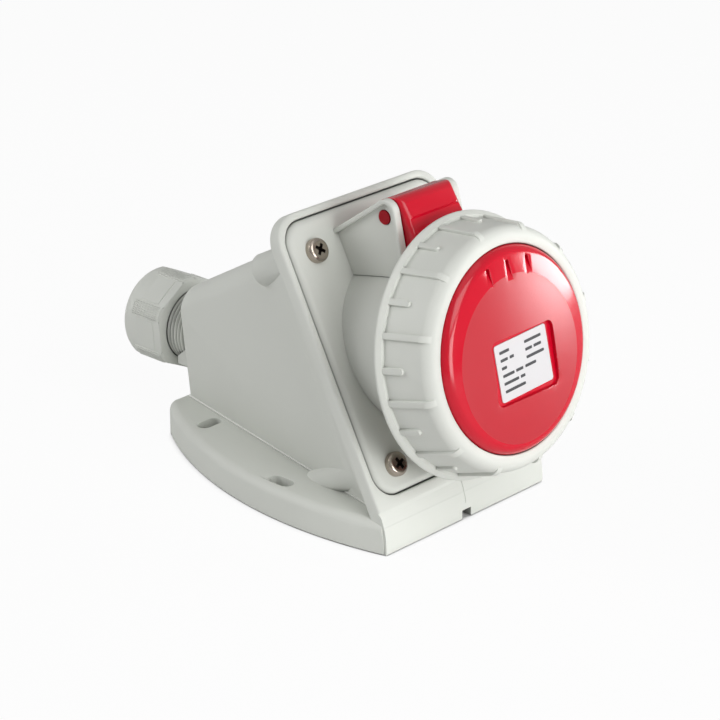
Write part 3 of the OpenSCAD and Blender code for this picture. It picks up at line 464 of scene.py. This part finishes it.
def makeScrew():
    dropSelection()
    bpy.ops.mesh.primitive_cylinder_add(vertices=screw["headSides"], radius=screw["headRadius"],
                                        depth=screw["headHeight"], location=(0, 0, screw["headHeight"] / 2))
    head = bpy.context.object
    applyPlace()
    pickFaces(head, lambda f: f.normal.z > 0.9)
    editFaces()
    bpy.ops.mesh.bevel(offset=screw["headRound"], segments=screw["roundSteps"], profile=0.5)
    leaveEdit()
    pickFaces(head, lambda f: f.normal.z < -0.9)
    editFaces()
    bpy.ops.mesh.inset(thickness=screw["headRadius"] - screw["shankRadius"])
    bpy.ops.mesh.extrude_region_move(TRANSFORM_OT_translate={"value": (0, 0, -screw["shankLength"])})
    leaveEdit()
    for turn in (0, 90):
        dropSelection()
        bpy.ops.mesh.primitive_cube_add(size=1, location=(0, 0, screw["headHeight"]))
        cutter = bpy.context.object
        cutter.scale = (screw["crossLength"], screw["crossWidth"], screw["crossDepth"] * 2)
        cutter.rotation_euler.z = math.radians(turn)
        applyPlace()
        pickFaces(cutter, lambda f: f.normal.z < -0.9)
        editFaces()
        bpy.ops.transform.resize(value=(screw["crossTaper"], screw["crossTaper"], 1), center_override=(0, 0, 0))
        leaveEdit()
        cut = head.modifiers.new("cross", "BOOLEAN")
        cut.operation = "DIFFERENCE"
        cut.solver = "EXACT"
        cut.object = cutter
        applyAll(head)
        bpy.data.objects.remove(cutter)
    smooth(head, 35)
    return head


def inRecess(face):
    away = math.hypot(face.center.x, face.center.y)
    return away < screw["recessReach"] and screw["recessFrom"] < face.center.z < screw["recessTo"]


firstScrew = makeScrew()
paint(firstScrew, look["screwSteel"])
# the cross recess is painted near black, painted shade in the recess
refinish(firstScrew, look["paintedRecessShade"], inRecess)
copies = []
for x, v, turn in screw["places"]:
    copy = ownCopy(firstScrew.data, "plateScrew")
    foot = facePlane["foot"] + facePlane["up"] * (v / 1000) + facePlane["out"] * screw["seat"]
    foot += Vector((x / 1000, 0, 0))
    spin = Matrix.Rotation(math.radians(turn), 4, "Z")
    copy.data.transform(Matrix.Translation(foot) @ leaning(facePlane) @ spin)
    copies.append(copy)
bpy.data.objects.remove(firstScrew)
plateScrews = joinUp(copies, "plateScrews")
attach(plateScrews, "housing")
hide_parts("plate_screws")
print("screws ready", len(plateScrews.data.polygons), "faces")

# fine grip ribs on the rounded corners of the gland nut, and a shallow field on each of its flats
gripRib = {"axisZ": 0.0324, "radius": 0.01688, "flat": 0.0154, "width": 0.00046, "proud": 0.00026, "from": 0.0679,
           "to": 0.0806, "taper": (1, 0.93, 0.5), "corner": 34.5,
           "spread": (-8.4, -6.0, -3.6, -1.2, 1.2, 3.6, 6.0, 8.4)}
nutField = {"proud": 0.00018, "sunk": 0.0002, "from": 0.0702, "to": 0.0788, "width": 0.0108, "taper": (1, 0.95, 0.95)}


# a bar along the nut whose outer face is drawn in
def taperedBar(radius, size, along, taper):
    dropSelection()
    middle = (radius, along, 0)
    bpy.ops.mesh.primitive_cube_add(size=1, location=middle)
    bar = bpy.context.object
    bar.scale = size
    applyPlace()
    pickFaces(bar, lambda f: f.normal.x > 0.9)
    editFaces()
    bpy.ops.transform.resize(value=taper, center_override=middle)
    leaveEdit()
    return bar


firstRib = taperedBar(gripRib["radius"], (gripRib["proud"] * 2, gripRib["to"] - gripRib["from"], gripRib["width"]),
                      (gripRib["from"] + gripRib["to"]) / 2, gripRib["taper"])
firstField = taperedBar(gripRib["flat"] + (nutField["proud"] - nutField["sunk"]) / 2,
                        (nutField["proud"] + nutField["sunk"], nutField["to"] - nutField["from"], nutField["width"]),
                        (nutField["from"] + nutField["to"]) / 2, nutField["taper"])
trims = []


def onNut(first, degrees, drop=0.0):
    copy = ownCopy(first.data, "nutTrim")
    turn = Matrix.Rotation(-math.radians(degrees), 4, "Y")
    copy.data.transform(Matrix.Translation((0, 0, gripRib["axisZ"])) @ turn @ Matrix.Translation((-drop, 0, 0)))
    trims.append(copy)


for corner in range(6):
    for shift in gripRib["spread"]:
        reach = gripRib["flat"] / math.cos(math.radians(30 - abs(shift)))   # the flat falls away beside the corner
        onNut(firstRib, gripRib["corner"] + 60 * corner + shift, max(0, gripRib["radius"] - reach))
    onNut(firstField, gripRib["corner"] + 30 + 60 * corner)
bpy.data.objects.remove(firstRib)
bpy.data.objects.remove(firstField)
nutGrip = joinUp(trims, "nutGrip")
paint(nutGrip, look["greyPlastic"])
smooth(nutGrip, 50)
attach(nutGrip, "nut")
print("nut grip ready", len(trims), "ribs and fields")

# plain printed bars on the label, no lettering: height of a row, then left end and width of each bar in mm
bars = {"height": 0.00095, "lift": 0.00003, "turn": 2.2, "round": 0.12, "roundSteps": 3,
        "rows": ((6.4, (-10.2, 4.6), (1.6, 8.0)), (3.9, (-10.2, 3.4), (-5.9, 2.0), (1.6, 3.2), (5.6, 3.6)),
                 (1.4, (-10.2, 2.4), (1.6, 8.4)), (-1.1, (-10.2, 5.4), (-4.0, 3.4), (0.4, 5.2)),
                 (-3.6, (-10.2, 7.0), (-2.4, 2.2)), (-6.1, (-10.2, 9.6)))}
labelLow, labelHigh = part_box("lid_label")
labelTop = max((vert.co - socketAxis["foot"]).dot(socketAxis["out"]) for vert in nodes["lid_label"].data.vertices)
middle = (Vector(labelLow) + Vector(labelHigh)) / 2
middle += socketAxis["out"] * (labelTop + bars["lift"] - (middle - socketAxis["foot"]).dot(socketAxis["out"]))
dropSelection()
bpy.ops.mesh.primitive_plane_add(size=1)
firstBar = bpy.context.object
pickFaces(firstBar, lambda f: True)
editFaces()
bpy.ops.mesh.bevel(offset=bars["round"], segments=bars["roundSteps"], affect="VERTICES")
leaveEdit()
onLabel = Matrix.Translation(middle) @ leaning(socketAxis) @ Matrix.Rotation(math.radians(bars["turn"]), 4, "Z")
printed = []
for row in bars["rows"]:
    for left, width in row[1:]:
        copy = ownCopy(firstBar.data, "labelBar")
        local = Matrix.Translation(((left + width / 2) / 1000, row[0] / 1000, 0))
        copy.data.transform(onLabel @ local @ Matrix.Diagonal((width / 1000, bars["height"], 1, 1)))
        printed.append(copy)
bpy.data.objects.remove(firstBar)
labelBars = joinUp(printed, "labelBars")
paint(labelBars, look["labelInk"])
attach(labelBars, "lid")
print("label bars ready", len(printed))

# parting seam down the frame's front, from the notch up to the lip
seam = {"width": 0.00045, "proud": 0.00014, "sunk": 0.0003, "frontY": -0.05975, "bend": 0.025, "bendDegrees": 28.5,
        "bendFoot": 0.00157, "from": 8.0, "up": 0.0030, "steps": 10}


def makeSeam():
    dropSelection()
    bpy.ops.mesh.primitive_plane_add(
        size=1, location=(0, seam["frontY"] + (seam["sunk"] - seam["proud"]) / 2, seam["bendFoot"]))
    strip = bpy.context.object
    strip.scale = (seam["width"], seam["sunk"] + seam["proud"], 1)
    applyPlace()
    pickFaces(strip, lambda f: True)
    editFaces()
    centre = (0, seam["frontY"] + seam["bend"], seam["bendFoot"])
    bpy.ops.transform.rotate(value=math.radians(seam["from"]), orient_axis="X", center_override=centre)
    bpy.ops.mesh.spin(steps=seam["steps"], angle=math.radians(seam["bendDegrees"] - seam["from"]), center=centre,
                      axis=(1, 0, 0))
    bpy.ops.mesh.extrude_region_move(TRANSFORM_OT_translate={"value": facePlane["up"] * seam["up"]})
    bpy.ops.mesh.select_all(action="SELECT")
    bpy.ops.mesh.normals_make_consistent(inside=False)
    leaveEdit()
    return strip


partingSeam = makeSeam()
partingSeam.name = "partingSeam"
paint(partingSeam, look["greyPlastic"])
smooth(partingSeam, 40)
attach(partingSeam, "housing")
print("seam ready", len(partingSeam.data.polygons), "faces")

# studio: floor, light and camera; a lamp has its place, width and height, and watts
studio = {
    "floorSize": 8,
    "floorDrop": -0.0004,
    "floorTone": 0.85,
    "floorGlow": 0.94,
    "shadowReach": 0.007,
    "shadowDeep": 0.32,
    "shadowOpen": 0.62,
    "worldStrength": 0.10,
    "glossyWorld": 0.4,
    "aim": (0, -0.02, 0.05),
    "lamps": (
        ("frontTop", (-0.20, -0.80, 0.85), (0.7, 0.7), 4.6),
        ("frontLow", (-0.10, -1.15, 0.12), (0.7, 0.7), 9.2),
        ("lowRight", (0.96, -0.53, 0.06), (0.45, 0.45), 8.9),
        ("backLeft", (-0.75, 0.85, 0.65), (0.7, 0.7), 7.6),
        ("overhead", (0.00, -0.10, 1.25), (0.8, 0.8), 1.0),
    ),
}

dropSelection()
bpy.ops.mesh.primitive_plane_add(size=studio["floorSize"], location=(0, 0, studio["floorDrop"]))
floor = bpy.context.object
floor.name = "floor"
mat, tree, shader = newMaterial("paleFloor")
shader.inputs["Base Color"].default_value = (studio["floorTone"],) * 3 + (1,)
shader.inputs["Roughness"].default_value = 0.9
shader.inputs["Specular IOR Level"].default_value = 0.1
glow = tree.nodes.new("ShaderNodeEmission")   # white for the camera, away from the object's shadow
glow.inputs["Color"].default_value = (1, 1, 1, 1)
path = tree.nodes.new("ShaderNodeLightPath")
near = tree.nodes.new("ShaderNodeAmbientOcclusion")
near.inputs["Distance"].default_value = studio["shadowReach"]
opened = tree.nodes.new("ShaderNodeMapRange")
opened.inputs["From Min"].default_value = studio["shadowDeep"]
opened.inputs["From Max"].default_value = studio["shadowOpen"]
opened.inputs["To Max"].default_value = studio["floorGlow"]
tree.links.new(near.outputs["AO"], opened.inputs["Value"])
seen = tree.nodes.new("ShaderNodeMath")
seen.operation = "MULTIPLY"
tree.links.new(path.outputs["Is Camera Ray"], seen.inputs[0])
tree.links.new(opened.outputs["Result"], seen.inputs[1])
blend = tree.nodes.new("ShaderNodeMixShader")
tree.links.new(seen.outputs[0], blend.inputs[0])
tree.links.new(shader.outputs[0], blend.inputs[1])
tree.links.new(glow.outputs[0], blend.inputs[2])
tree.links.new(blend.outputs[0], tree.nodes["Material Output"].inputs["Surface"])
paint(floor, mat)

# dim light all round, white where the camera sees it, and part of that in reflections
world = bpy.data.worlds.new("studioWorld")
bpy.context.scene.world = world
world.use_nodes = True
wt = world.node_tree
back = wt.nodes["Background"]
back.inputs["Color"].default_value = (1, 1, 1, 1)
back.inputs["Strength"].default_value = studio["worldStrength"]
plain = wt.nodes.new("ShaderNodeBackground")
plain.inputs["Color"].default_value = (1, 1, 1, 1)
plain.inputs["Strength"].default_value = 1
path = wt.nodes.new("ShaderNodeLightPath")
clear = wt.nodes.new("ShaderNodeMath")
clear.operation = "MAXIMUM"
wt.links.new(path.outputs["Is Camera Ray"], clear.inputs[0])
wt.links.new(path.outputs["Is Transmission Ray"], clear.inputs[1])
shine = wt.nodes.new("ShaderNodeMath")
shine.operation = "MULTIPLY_ADD"
shine.inputs[1].default_value = studio["glossyWorld"]
wt.links.new(path.outputs["Is Glossy Ray"], shine.inputs[0])
wt.links.new(clear.outputs[0], shine.inputs[2])
blend = wt.nodes.new("ShaderNodeMixShader")
wt.links.new(shine.outputs[0], blend.inputs[0])
wt.links.new(back.outputs[0], blend.inputs[1])
wt.links.new(plain.outputs[0], blend.inputs[2])
wt.links.new(blend.outputs[0], wt.nodes["World Output"].inputs["Surface"])


def softbox(name, at, width, height, power):
    dropSelection()
    bpy.ops.object.light_add(type="AREA", location=at)
    lamp = bpy.context.object
    lamp.name = name
    lamp.data.shape = "RECTANGLE"
    lamp.data.size = width
    lamp.data.size_y = height
    lamp.data.energy = power
    lamp.rotation_euler = (Vector(studio["aim"]) - Vector(at)).to_track_quat("-Z", "Y").to_euler()


for name, at, size, power in studio["lamps"]:
    softbox(name, at, size[0], size[1], power)

# camera fitted to the photograph's view, its focal length in pixels of a 720 pixel frame
lens = {"azimuth": -46.715, "elevation": 22.691, "distance": 0.9173, "target": (-0.01188, -0.02375, 0.04819),
        "pixels": 2856.5, "framePixels": 720, "sensor": 36}
az, el = math.radians(lens["azimuth"]), math.radians(lens["elevation"])
away = Vector((math.sin(az) * math.cos(el), -math.cos(az) * math.cos(el), math.sin(el)))
dropSelection()
bpy.ops.object.camera_add(location=Vector(lens["target"]) + away * lens["distance"])
camera = bpy.context.object
camera.rotation_euler = (-away).to_track_quat("-Z", "Y").to_euler()
camera.data.sensor_width = lens["sensor"]
camera.data.lens = lens["pixels"] / lens["framePixels"] * lens["sensor"]
camera.data.dof.use_dof = False
bpy.context.scene.camera = camera
bpy.context.scene.view_settings.view_transform = "Standard"
print("studio ready:", len(studio["lamps"]), "lamps")
